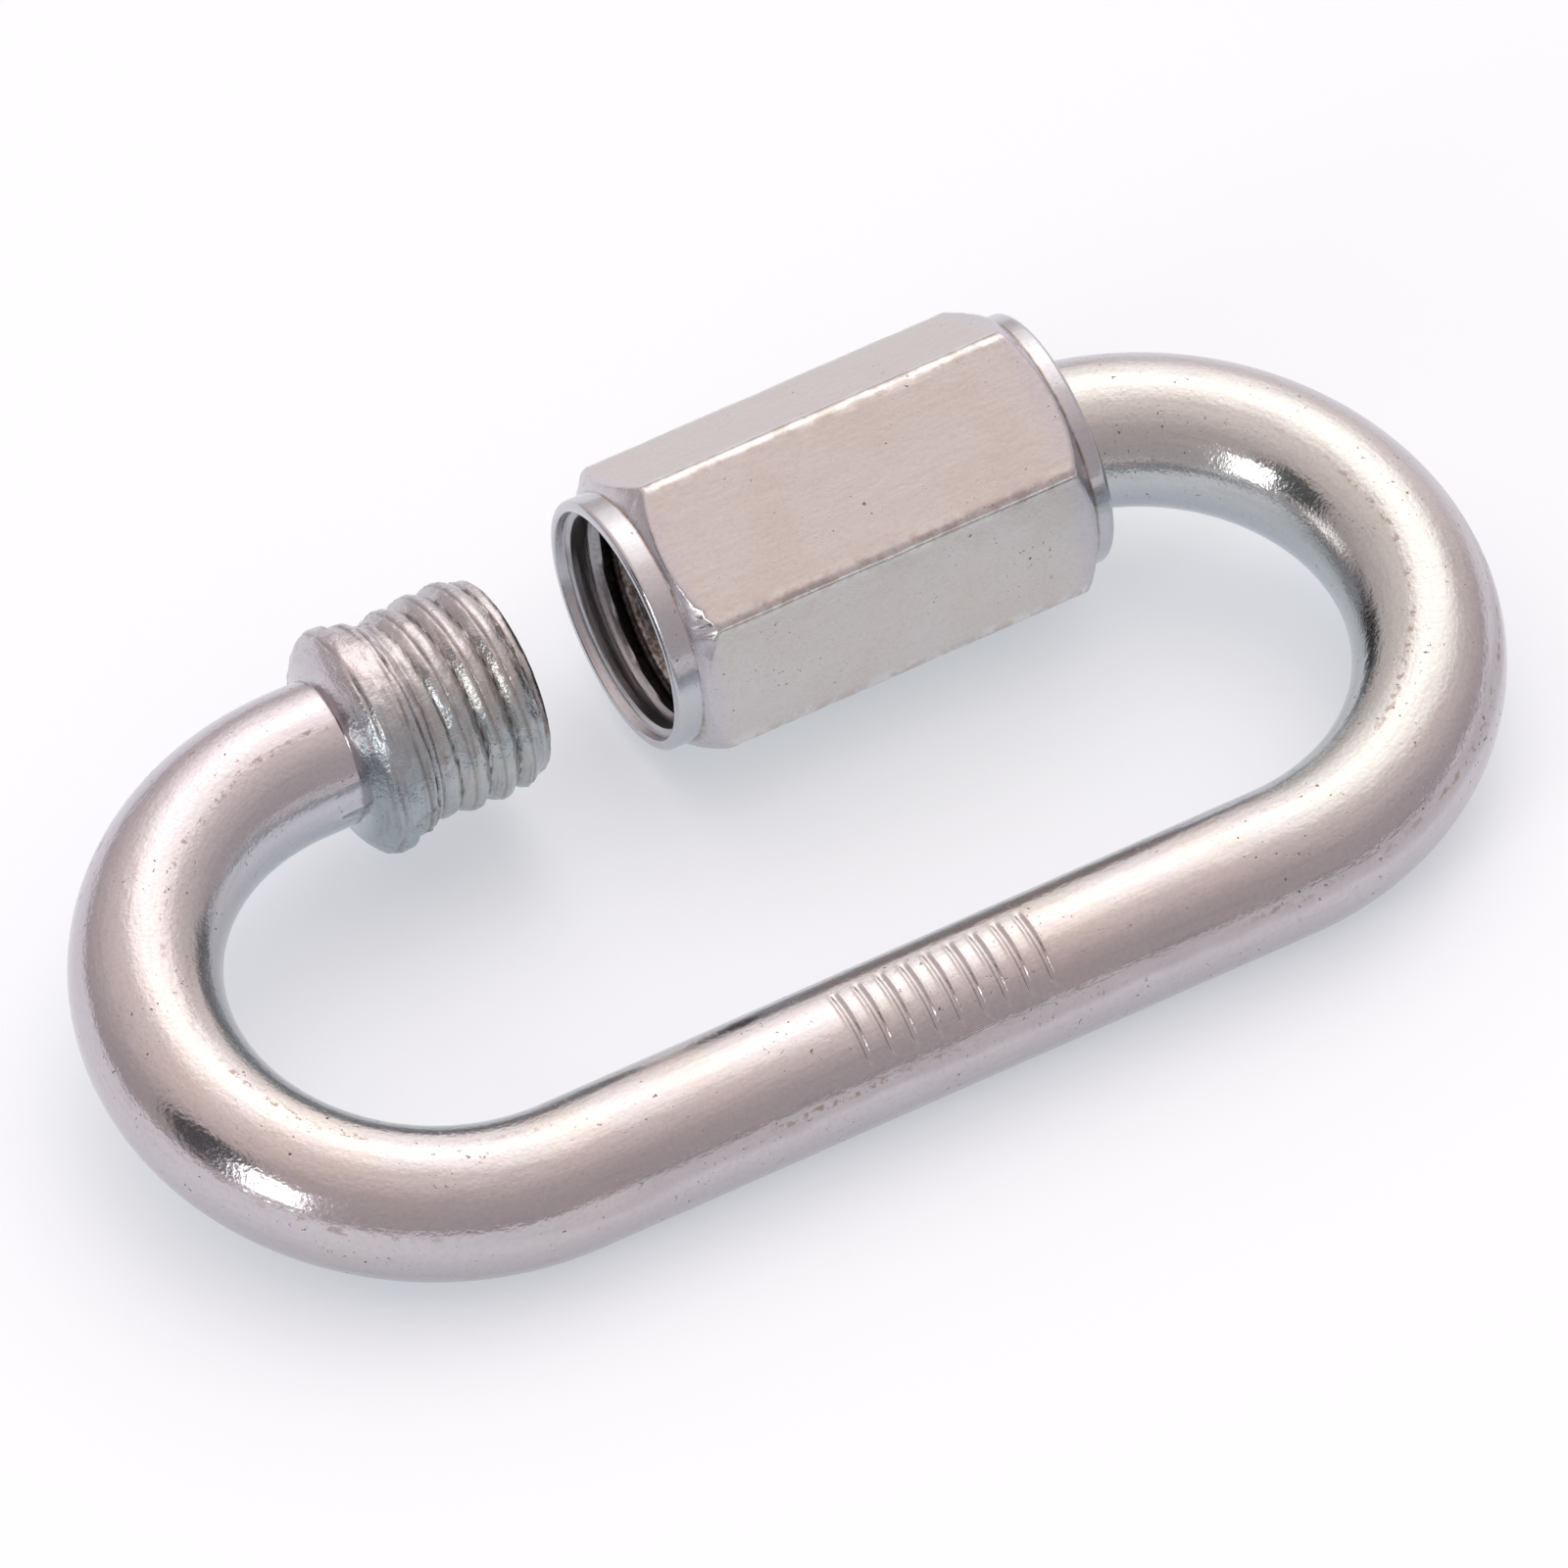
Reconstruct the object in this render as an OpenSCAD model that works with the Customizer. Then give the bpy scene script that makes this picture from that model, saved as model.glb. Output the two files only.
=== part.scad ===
// Chain quick link: a bent bar link that a hexagonal sleeve nut closes.

/* [Link] */
// Diameter of the round bar
bar_d = 6; // [5:0.25:7.5]
// Length of each straight side, between the bends
straight_l = 31; // [30:0.5:40]
// Radius of the bends, at the bar's centreline
bend_r = 11; // [10:0.25:14]

/* [Threaded ends] */
// Diameter over the crests of the rolled thread
thread_d = 8.74; // [8.2:0.02:9.6]
// Depth of the thread, from crest to root
thread_depth = 0.3; // [0.15:0.05:0.4]
// Pitch of the thread
pitch = 1.25; // [0.8:0.05:1.5]
// Plain bar between the bend and the middle of the bead
shank_l = 2.9; // [1.6:0.1:4]
// Threaded stub, from the middle of the bead to its end face
stub_l = 6.15; // [5:0.05:7]
// Clear opening between the end faces of the two threaded ends
opening = 7.5; // [6:0.1:8.5]
// Length of the thread on the long arm
arm_thread_l = 11; // [8:0.25:11.5]
// Run of the cone between the bar and the long arm's thread
arm_cone_l = 0.8; // [0.4:0.1:1.5]
// Length of the low first turn at each end face
lead_l = 0.95; // [0.8:0.05:1.2]
// Chamfer on each end face
end_chamfer = 0.35; // [0.1:0.05:0.5]

/* [Bead] */
// Radius of the bead's round section
bead_round = 1.5; // [1.2:0.1:2]
// How far the bead stands above the nut's bore, so that it stops the nut
bead_stop = 0.18; // [0.1:0.02:0.4]

/* [Sleeve nut] */
// Wall between the bore and a flat of the hexagon
nut_wall = 1.03; // [0.8:0.01:2]
// Depth turned off each corner of the hexagon
corner_break = 0.08; // [0.02:0.01:0.2]
// Wall of the round collars
collar_wall = 0.73; // [0.5:0.01:0.8]
// Collar at the mouth, from its rim to the middle of a flat
mouth_collar_l = 1.27; // [0.8:0.01:2]
// Collar at the back, from its rim to the middle of a flat
back_collar_l = 0.95; // [0.8:0.01:2]
// Slope of the crowned chamfer on the hexagon's ends, in degrees from the end face
chamfer_angle = 37; // [25:1:50]
// Chamfer on the outer rim of each collar
rim_chamfer = 0.2; // [0.1:0.02:0.3]
// Depth of the countersink at each end of the bore
sink_l = 0.25; // [0.1:0.05:0.4]
// Widening of the bore at the countersinks
sink_step = 0.15; // [0.05:0.01:0.2]
// Length of the long arm's thread that the closed nut holds
grip_l = 6; // [4:0.1:8]

/* [Fits] */
// Radial clearance between the thread crests and the nut's bore
thread_clear = 0.1; // [0.05:0.01:0.15]

/* [Lying position] */
// Gap between the stub's end face and the opened nut
nut_gap = 4.82; // [4.5:0.02:7.5]
// Turn of the nut, as the angle of its upper flat from level
nut_turn = 26.8; // [0:0.1:59.9]

/* [Hidden] */
$fn = 96;

// Overshoot of cuts past the faces that they open
over = 1;

// Radii, from the bar outwards
bar_r = bar_d / 2;
crest_r = thread_d / 2;
root_r = crest_r - thread_depth;
bore_r = crest_r + thread_clear;
bead_r = bore_r + bead_stop;
collar_r = bore_r + collar_wall;
flat_r = bore_r + nut_wall;
corner_r = flat_r / cos(30) - corner_break;
crown_r = (flat_r + corner_r) / 2 / sin(chamfer_angle);

// Thread form: two flanks and a narrow crest and root in each pitch
flank_l = 0.3 * pitch;
crest_l = 0.2 * pitch;
lead_r = crest_r - end_chamfer;
lead_flank_l = (lead_l - end_chamfer) / 2;

// On the stub, the cone ends inside the bead and the ridges start where the bead dips to the root
stub_cone_l = bead_round / 2;
stub_bare_l = 0.8 * bead_round;

// Places along the upper side, from the middle of the link
bead_x = shank_l - straight_l / 2;
stub_face_x = bead_x + stub_l;
arm_face_x = stub_face_x + opening;
arm_end_x = straight_l / 2;
mouth_x = stub_face_x + nut_gap;

// Closed, the inner edge of the countersink stops on the bead's flank
bead_mid_r = bead_r - bead_round;
bead_flank = sqrt(bead_round * bead_round - (bore_r - bead_mid_r) * (bore_r - bead_mid_r));
closed_x = bead_x + bead_flank - sink_l;
nut_l = arm_face_x + grip_l - closed_x;

// Lying down, the link leans on the nut's lowest corner and the lower side.
// Directions round the nut are angles from straight up towards the lower side.
corner_land = 30 - acos(flat_r / corner_r);
function corner_off(dir) = abs(((dir - nut_turn) % 60 + 60) % 60 - 30);
function nut_reach(dir) = corner_r * cos(max(0, corner_off(dir) - corner_land));
lean = asin((nut_reach(180) - bar_r) / (2 * bend_r));
depth = bar_r + 2 * bend_r * cos(lean) + nut_reach(270);

// Puts the flat link into its lying position, centred above the origin
module lying()
    translate([0, bar_r - depth / 2, bar_r])
        rotate([lean, 0, 0])
            translate([0, bend_r, 0])
                children();

// Stands a shape made along Z on one side of the link, starting at x
module along_side(x, side)
    translate([x, side * bend_r, 0])
        rotate([0, 90, 0])
            children();

// Half a turn of bar at the right end of the link
module bend()
    translate([straight_l / 2, 0, 0])
        rotate([0, 0, -90])
            rotate_extrude(angle = 180)
                translate([bend_r, 0])
                    circle(r = bar_r);

// One ridge of the thread that starts at z, as points of radius and place
function ridge(z) = [
    [root_r, z + (pitch - crest_l) / 2 - flank_l],
    [crest_r, z + (pitch - crest_l) / 2],
    [crest_r, z + (pitch + crest_l) / 2],
    [root_r, z + (pitch + crest_l) / 2 + flank_l]
];

// Upset end with its thread: a cone out of the bar, ridges and a low first turn
module threaded_end(l, cone_l, bare_l) {
    turns = floor((l - lead_l - bare_l) / pitch);
    first_z = l - lead_l - turns * pitch;
    ridges = [for (i = [0 : turns - 1]) each ridge(first_z + i * pitch)];
    lead = [
        [root_r, l - lead_l],
        [lead_r, l - lead_l + lead_flank_l],
        [lead_r, l - end_chamfer],
        [lead_r - end_chamfer, l]
    ];
    rotate_extrude()
        polygon(concat([[0, 0], [bar_r, 0], [root_r, cone_l]], ridges, lead, [[0, l]]));
}

// Rounded bead that stops the nut
module bead()
    rotate_extrude()
        translate([bead_mid_r, 0])
            circle(r = bead_round);

// One bent bar: lower side, both bends, the stub with its bead and the long arm
module link_body() {
    arm_bar_l = arm_end_x - arm_face_x - arm_thread_l;
    color("silver") lying() {
        along_side(-straight_l / 2, -1) cylinder(r = bar_r, h = straight_l);
        bend();
        mirror([1, 0, 0]) bend();
        along_side(-straight_l / 2, 1) cylinder(r = bar_r, h = shank_l);
        along_side(bead_x, 1) bead();
        along_side(bead_x, 1) threaded_end(stub_l, stub_cone_l, stub_bare_l);
        along_side(arm_end_x - arm_bar_l, 1) cylinder(r = bar_r, h = arm_bar_l);
        along_side(arm_face_x + arm_thread_l, 1)
            mirror([0, 0, 1]) threaded_end(arm_thread_l, arm_cone_l, arm_cone_l);
    }
}

// Cuts one end of the hexagon back to a crowned chamfer that meets the flats at z
module crown_cut(z) {
    centre_z = z + sqrt(crown_r * crown_r - flat_r * flat_r);
    difference() {
        translate([0, 0, -over]) cylinder(r = corner_r + over, h = centre_z + over);
        translate([0, 0, centre_z]) sphere(r = crown_r);
    }
}

// Hexagon with turned corners and a crowned chamfer at both ends
module hexagon()
    difference() {
        intersection() {
            rotate([0, 0, nut_turn - lean + 30]) cylinder(r = flat_r / cos(30), h = nut_l, $fn = 6);
            cylinder(r = corner_r, h = nut_l);
        }
        crown_cut(mouth_collar_l);
        translate([0, 0, nut_l]) mirror([0, 0, 1]) crown_cut(back_collar_l);
    }

// Round sleeve whose ends show as the collars
module collars()
    rotate_extrude()
        polygon([
            [0, 0],
            [collar_r - rim_chamfer, 0],
            [collar_r, rim_chamfer],
            [collar_r, nut_l - rim_chamfer],
            [collar_r - rim_chamfer, nut_l],
            [0, nut_l]
        ]);

// Through bore with a countersink at each end
module bore()
    rotate_extrude()
        polygon([
            [0, -over],
            [bore_r + sink_step, -over],
            [bore_r + sink_step, 0],
            [bore_r, sink_l],
            [bore_r, nut_l - sink_l],
            [bore_r + sink_step, nut_l],
            [bore_r + sink_step, nut_l + over],
            [0, nut_l + over]
        ]);

// Hexagonal sleeve nut, opened along the long arm
module sleeve_nut()
    color("gainsboro") lying() along_side(mouth_x, 1)
        difference() {
            union() {
                hexagon();
                collars();
            }
            bore();
        }

link_body();
sleeve_nut();
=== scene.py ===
import math

import bmesh
import bpy
from mathutils import Matrix, Vector, noise


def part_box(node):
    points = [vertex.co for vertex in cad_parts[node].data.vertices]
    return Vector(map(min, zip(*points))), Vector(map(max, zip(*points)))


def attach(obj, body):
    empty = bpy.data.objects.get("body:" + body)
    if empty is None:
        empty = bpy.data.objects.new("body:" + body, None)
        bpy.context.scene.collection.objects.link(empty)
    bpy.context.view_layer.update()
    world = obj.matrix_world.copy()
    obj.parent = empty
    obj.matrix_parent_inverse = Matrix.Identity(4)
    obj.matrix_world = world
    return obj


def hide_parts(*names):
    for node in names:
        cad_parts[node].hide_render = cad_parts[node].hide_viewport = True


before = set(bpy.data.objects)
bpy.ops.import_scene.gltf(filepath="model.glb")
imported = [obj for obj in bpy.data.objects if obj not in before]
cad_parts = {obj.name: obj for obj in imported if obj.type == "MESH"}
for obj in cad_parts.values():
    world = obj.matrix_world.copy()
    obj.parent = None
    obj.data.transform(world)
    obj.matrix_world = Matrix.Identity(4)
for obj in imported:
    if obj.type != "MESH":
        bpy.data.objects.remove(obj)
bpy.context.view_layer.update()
mm = 0.001  # lengths below are in millimetres, Blender works in metres


# shader values as Python expressions
class Wire:
    def __init__(self, tree, socket=None):
        self.tree = tree
        self.socket = socket

    # a node from its type, its settings and what goes into its sockets
    def node(self, kind, settings, sockets, output=0):
        made = self.tree.nodes.new(kind)
        for key, value in settings.items():
            if key == "stops":
                setStops(made.color_ramp, value)
            else:
                setattr(made, key, value)
        for key, value in sockets.items():
            if isinstance(value, Wire):
                self.tree.links.new(value.socket, made.inputs[key])
            else:
                made.inputs[key].default_value = value
        return Wire(self.tree, made.outputs[output])

    def maths(self, operation, first, second=0.0):
        return self.node("ShaderNodeMath", {"operation": operation}, {0: first, 1: second})

    def __add__(self, other):
        return self.maths("ADD", self, other)

    def __radd__(self, other):
        return self.maths("ADD", other, self)

    def __sub__(self, other):
        return self.maths("SUBTRACT", self, other)

    def __rsub__(self, other):
        return self.maths("SUBTRACT", other, self)

    def __mul__(self, other):
        return self.maths("MULTIPLY", self, other)

    def __rmul__(self, other):
        return self.maths("MULTIPLY", other, self)

    # 0 below low, 1 above high, with soft ends
    def ramp(self, low, high):
        return self.node("ShaderNodeMapRange", {"interpolation_type": "SMOOTHSTEP"},
                         {"Value": self, "From Min": low, "From Max": high})

    def stretched(self, factors):
        return self.node("ShaderNodeVectorMath", {"operation": "MULTIPLY"},
                         {0: self, 1: factors})

    def noise(self, scale, detail=2.0, rough=0.5):
        return self.node("ShaderNodeTexNoise", {},
                         {"Vector": self, "Scale": scale, "Detail": detail, "Roughness": rough})

    # a noise about zero
    def centred(self):
        return self - 0.5

    # never less than least, and more where the value is high
    def varied(self, least, more):
        return least + more * self

    def mixed(self, first, second):
        return self.node("ShaderNodeMix", {"data_type": "RGBA"},
                         {0: self, 6: first, 7: second}, 2)


def setStops(ramp, stops):
    while len(ramp.elements) < len(stops):
        ramp.elements.new(1.0)
    for element, (place, colour) in zip(ramp.elements, stops):
        element.position = place
        element.color = colour


def rgb(red, green, blue):
    return (red, green, blue, 1.0)


def newMaterial(name):
    material = bpy.data.materials.new(name)
    material.use_nodes = True
    material.node_tree.nodes.clear()
    return material, Wire(material.node_tree)


def endMaterial(tree, surface):
    out = tree.tree.nodes.new("ShaderNodeOutputMaterial")
    tree.tree.links.new(surface.socket, out.inputs["Surface"])


def softStep(low, high, value):
    share = min(1.0, max(0.0, (value - low) / (high - low)))
    return share * share * (3 - 2 * share)


def softMax(first, second, blend):
    overlap = max(blend - abs(first - second), 0.0) / blend
    return max(first, second) + overlap * overlap * blend / 4


def steps(start, end, size):
    count = max(1, round(abs(end - start) / size))
    return [start + (end - start) * i / count for i in range(count)]


# one bent round bar
bar = {
    "radius": 3.0,
    "skin": 0.012,         # the surface stays this far inside the solid
    "ripple": 0.012,       # unevenness of the drawn bar
    "rippleLength": 2.0,
    "rippleStretch": 2.0,  # longer along the bar
    "straight": 31.0,      # between the bends
    "bendRadius": 11.0,    # to the middle of the bar
    "bendFade": (13.0, 17.0),      # places along X where the skin of the bends starts
    "stubFace": -6.45,     # end faces of the two threaded ends, along X
    "armFace": 1.05,
    "armThread": 11.0,
    "armCone": 0.9,
    "around": 120,         # points round the bar
    "bendSteps": 72,
    "armStep": 0.08,       # between rings along the arm's thread
    "stubStep": 0.045,     # along the stub's thread
    "shankStep": 0.12,     # between the bead and the bend
    "plainStep": 0.6,      # along the lower side, beside the strokes
    "armPlainStep": 0.4,   # between the bend and the arm's thread
    "edgeRings": 6,        # over the rounded edge of an end face
    "sharpAngle": 50.0,
}

# where the link lies: the nut's axis and the lower side's axis give its lean
nutLow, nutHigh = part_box("sleeve_nut")
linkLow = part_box("link_body")[0]
nutAxis = (nutLow + nutHigh) / 2 / mm
lowerY = linkLow.y / mm + bar["radius"]
lowerZ = linkLow.z / mm + bar["radius"]
lean = math.atan2(nutAxis.z - lowerZ, nutAxis.y - lowerY)
lying = (Matrix.Translation((0, lowerY, lowerZ)) @ Matrix.Rotation(lean, 4, "X")
         @ Matrix.Translation((0, bar["bendRadius"], 0)))
print("placed: lean", round(math.degrees(lean), 3),
      "nut axis", tuple(round(v, 3) for v in nutAxis))

# rolled thread, the same helix on both ends of the bar and in the nut
thread = {
    "crest": 4.37,
    "root": 3.97,
    "pitch": 1.25,
    "start": -9.15,        # a crest on the outer side of the link
    "sharpness": 0.85,     # below 1 the crests are broad and the grooves narrow
    "seam": 0.045,         # fold that rolling leaves along the crest
    "seamWidth": 0.06,
    "seamOffset": 0.12,    # turns from the middle of the crest
    "seamFull": 0.3,       # height of thread at which the fold has its full depth
}


def turnsAlong(x, angle):
    return (x - thread["start"]) / thread["pitch"] - angle / math.tau


def ridge(x, angle):
    return abs(math.cos(math.pi * turnsAlong(x, angle))) ** thread["sharpness"]


def seamShare(x, angle):
    turns = turnsAlong(x, angle) + thread["seamOffset"]
    beside = (turns - round(turns)) * thread["pitch"] / thread["seamWidth"]
    return math.exp(-beside ** 2)


def threadRadius(x, angle, crest):
    height = max(0.0, crest - thread["root"])
    depth = thread["seam"] * seamShare(x, angle) * min(1.0, height / thread["seamFull"])
    return thread["root"] + height * ridge(x, angle) - depth


# the low first turn at an end face: its crest, length and rounded edge
lead = {"crest": 4.04, "length": 1.1, "round": 0.34}


# largest radius at a distance in from an end face
def leadLimit(inward):
    edge = lead["crest"]
    if inward < lead["round"]:
        left = lead["round"] - inward
        return edge + math.sqrt(lead["round"] ** 2 - left ** 2) - lead["round"]
    return edge + (thread["crest"] - edge) * softStep(lead["round"], lead["length"], inward)


# distances in from an end face, closer together towards it
def edgePlaces():
    count = bar["edgeRings"]
    return [lead["round"] * (1 - math.cos(math.pi / 2 * i / count)) for i in range(count)]


bead = {
    "place": -12.6,
    "section": (           # radius at places from the bead's middle
        (-1.62, 2.4), (-1.56, 2.9), (-1.45, 3.35), (-1.25, 3.8), (-1.0, 4.19), (-0.78, 4.45),
        (-0.6, 4.58), (-0.4, 4.63), (-0.1, 4.645), (0.25, 4.64), (0.48, 4.61), (0.7, 4.48),
        (1.0, 4.28), (1.35, 4.06), (1.6, 3.85), (1.8, 3.6),
    ),
    "offset": 0.07,        # off centre towards the inside of the link
    "crease": 0.06,        # softening where it meets the bar and the thread
    "folds": ((0.62, 0.15), (-0.62, 0.1), (1.02, 0.12), (1.42, 0.06)),  # place and depth of each
    "foldWidth": 0.07,
    "foldWander": 0.16,
    "foldSpread": (9.0, 1.5),      # how fast they change from fold to fold, and round the bead
    "foldBreaks": (-0.6, 0.2),     # noise levels where a fold is gone and where it is full
    "foldBreakScale": 2.5,
    "firstCrest": 4.25,    # the thread is lower where it runs out against the bead
    "runOut": (1.1, 2.2, 3.4),
    "hammered": 0.06,      # unevenness of the upset metal
    "hammeredLength": 0.5,
    "hammeredFull": 4.25,  # radius from which it is full
    "hammeredFine": (0.5, 2.4),    # share and scale of the finer part
    "flash": 0.1,          # parting line in the plane of the link
    "flashWidth": 0.12,
    "flashReach": (2.88, 2.6),
    "flashEnd": (1.4, 0.9),        # on the thread's side
    "step": 0.055,         # between rings over the bead
    "flankStep": 0.02,     # and down its flank to the bar
    "flankStart": -1.0,
    "flankPast": 0.04,
}


# smooth curve through the section's points
def beadRadius(beside):
    section = bead["section"]
    for i in range(1, len(section) - 2):
        (a, low), (b, high) = section[i], section[i + 1]
        if a <= beside <= b:
            share = (beside - a) / (b - a)
            slopeLow = (high - section[i - 1][1]) / (b - section[i - 1][0]) * (b - a)
            slopeHigh = (section[i + 2][1] - low) / (section[i + 2][0] - a) * (b - a)
            two, three = share ** 2, share ** 3
            return (low * (2 * three - 3 * two + 1) + slopeLow * (three - 2 * two + share)
                    + high * (3 * two - 2 * three) + slopeHigh * (three - two))
    return 0.0


# depth of the folds that upsetting leaves round the bead
def foldDepth(beside, angle):
    deepest = 0.0
    apart, spread = bead["foldSpread"]
    for place, depth in bead["folds"]:
        around = Vector((place * apart, spread * math.cos(angle), spread * math.sin(angle)))
        off = beside - place - bead["foldWander"] * noise.noise(around)
        strength = softStep(*bead["foldBreaks"], noise.noise(around * bead["foldBreakScale"]))
        deepest = max(deepest, depth * strength * math.exp(-(off / bead["foldWidth"]) ** 2))
    return deepest


def stubRadius(x, angle):
    beside = x - bead["place"]
    shape = beadRadius(beside) - bead["offset"] * math.cos(angle) - foldDepth(beside, angle)
    size = softMax(shape, bar["radius"], bead["crease"])
    if beside > 0:
        start, first, full = bead["runOut"]
        low, middle, high = thread["root"], bead["firstCrest"], thread["crest"]
        crest = low + (middle - low) * softStep(start, first, beside)
        crest += (high - middle) * softStep(first, full, beside)
        size = softMax(shape, threadRadius(x, angle, crest), bead["crease"])
        size = min(size, leadLimit(bar["stubFace"] - x))
    spot = Vector((x, size * math.cos(angle), size * math.sin(angle))) / bead["hammeredLength"]
    fineShare, fineScale = bead["hammeredFine"]
    uneven = noise.noise(spot) + fineShare * noise.noise(spot * fineScale)
    size += bead["hammered"] * uneven * softStep(bar["radius"], bead["hammeredFull"], size)
    inPlane = abs(math.sin(angle)) * size / bead["flashWidth"]
    fade = softStep(*bead["flashReach"], abs(beside))
    if beside > 0:
        fade *= softStep(*bead["flashEnd"], beside)
    return size + bead["flash"] * math.exp(-inPlane ** 2) * fade


def armRadius(x, angle):
    inward = x - bar["armFace"]
    shape = min(threadRadius(x, angle, thread["crest"]), leadLimit(inward))
    share = softStep(bar["armThread"] - bar["armCone"], bar["armThread"], inward)
    return shape + (bar["radius"] - shape) * share


# a row of plain straight strokes, struck into the lower side
strokes = {
    "first": -3.7,
    "spacing": 1.0,
    "count": 9,
    "depth": 0.075,
    "width": 0.11,
    "lip": 0.035,          # metal raised beside a stroke
    "lipPlace": 1.9,       # in stroke widths
    "lipWidth": 0.7,
    "from": -15.0,         # degrees from the top of the bar towards its outer side
    "to": 44.0,
    "ends": 5.0,
    "margin": 0.7,         # beside the first and the last stroke
    "step": 0.05,          # between rings across the strokes
}


def lowerRadius(x, angle):
    size = bar["radius"]
    fromTop = 90.0 - math.degrees(angle)
    if fromTop < -180:
        fromTop += 360
    low, high, ends = strokes["from"], strokes["to"], strokes["ends"]
    if not low - ends < fromTop < high + ends:
        return size
    along = softStep(low - ends, low, fromTop) * softStep(high + ends, high, fromTop)
    index = round((x - strokes["first"]) / strokes["spacing"])
    index = min(strokes["count"] - 1, max(0, index))
    off = abs(x - strokes["first"] - index * strokes["spacing"]) / strokes["width"]
    onLip = (off - strokes["lipPlace"]) / strokes["lipWidth"]
    cut = strokes["lip"] * math.exp(-onLip ** 2) - strokes["depth"] * math.exp(-off ** 2)
    return size + cut * along


# rings of the bar from the stub's face round to the arm's face:
# place, direction of the outer side and what gives the radius there
def barStations():
    half, bend = bar["straight"] / 2, bar["bendRadius"]
    quarter = math.pi / 2
    turns = [math.pi * i / bar["bendSteps"] for i in range(bar["bendSteps"])]
    flank = bead["place"] + bead["flankStart"]
    beadLeft = bead["place"] + bead["section"][1][0] - bead["flankPast"]
    beadRight = bead["place"] + bead["section"][-2][0]
    places = [bar["stubFace"] - inward for inward in edgePlaces()]
    places += steps(bar["stubFace"] - lead["round"], beadRight, bar["stubStep"])
    places += steps(beadRight, flank, bead["step"])
    places += steps(flank, beadLeft, bead["flankStep"])
    places += steps(beadLeft, -half, bar["shankStep"])
    stations = [(x, bend, quarter, stubRadius) for x in places]
    stations += [(-half, 0, quarter + turn, None) for turn in turns]
    first = strokes["first"] - strokes["margin"]
    last = first + strokes["spacing"] * (strokes["count"] - 1) + 2 * strokes["margin"]
    places = steps(-half, first, bar["plainStep"])
    places += steps(first, last, strokes["step"])
    places += steps(last, half, bar["plainStep"])
    stations += [(x, -bend, -quarter, lowerRadius) for x in places]
    stations += [(half, 0, turn - quarter, None) for turn in turns]
    cone = bar["armFace"] + bar["armThread"]
    places = steps(half, cone, bar["armPlainStep"])
    places += steps(cone, bar["armFace"] + lead["round"], bar["armStep"])
    places += [bar["armFace"] + inward for inward in reversed(edgePlaces())]
    stations += [(x, bend, quarter, armRadius) for x in places]
    return stations


# a mesh from rings of points; marks are values that the finish reads at each point:
# flow is the place along and across the piece, zone and bend say what the finish does there
def gridMesh(name, rings, marks, closed):
    around = len(rings[0])
    points = [point for ring in rings for point in ring]
    faces = []
    for i in range(len(rings) if closed else len(rings) - 1):
        here, there = i * around, (i + 1) % len(rings) * around
        for j in range(around):
            k = (j + 1) % around
            faces.append((here + j, here + k, there + k, there + j))
    if not closed:
        faces.append(tuple(range(around)))
        last = (len(rings) - 1) * around
        faces.append(tuple(range(last, last + around)))
    mesh = bpy.data.meshes.new(name)
    mesh.from_pydata([p * mm for p in points], [], faces)
    shape = bmesh.new()
    shape.from_mesh(mesh)
    bmesh.ops.recalc_face_normals(shape, faces=shape.faces)
    shape.to_mesh(mesh)
    shape.free()
    mesh.shade_smooth()
    for layer, values in marks.items():
        store = mesh.attributes.new(layer, "FLOAT_VECTOR", "POINT")
        store.data.foreach_set("vector", [v for ring in values for mark in ring for v in mark])
    piece = bpy.data.objects.new(name, mesh)
    bpy.context.scene.collection.objects.link(piece)
    return piece


# what the finish tells apart on the bar
barZones = {
    "stubThread": (0.5, 1.8),      # from the middle of the bead
    "armThread": (11.0, 10.0),     # from the arm's face
    "upset": (3.1, 3.75),          # radius
    "groove": (4.02, 3.97),        # radius
    "seam": 0.6,
    "endFace": (1.0, 0.3, 1.0),
    "endRings": ((0.93, 0.0), (0.8, -0.03), (0.5, -0.07), (0.12, -0.08)),  # share and cupping
}


# how much a place is thread, how deep it lies in a groove, and how much it is upset metal
def barZone(radius, place, angle, size):
    fold = 0.0
    if radius is stubRadius:
        threaded = softStep(*barZones["stubThread"], place - bead["place"])
        upset = softStep(*barZones["upset"], size)
        fold = foldDepth(place - bead["place"], angle) / bead["folds"][0][1] * upset
    elif radius is armRadius:
        threaded = softStep(*barZones["armThread"], place - bar["armFace"])
        upset = threaded
    else:
        return 0.0, 0.0, 0.0
    groove = softStep(*barZones["groove"], size) * threaded
    seam = barZones["seam"] * seamShare(place, angle) * threaded
    return threaded, max(groove, fold, seam), upset


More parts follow.
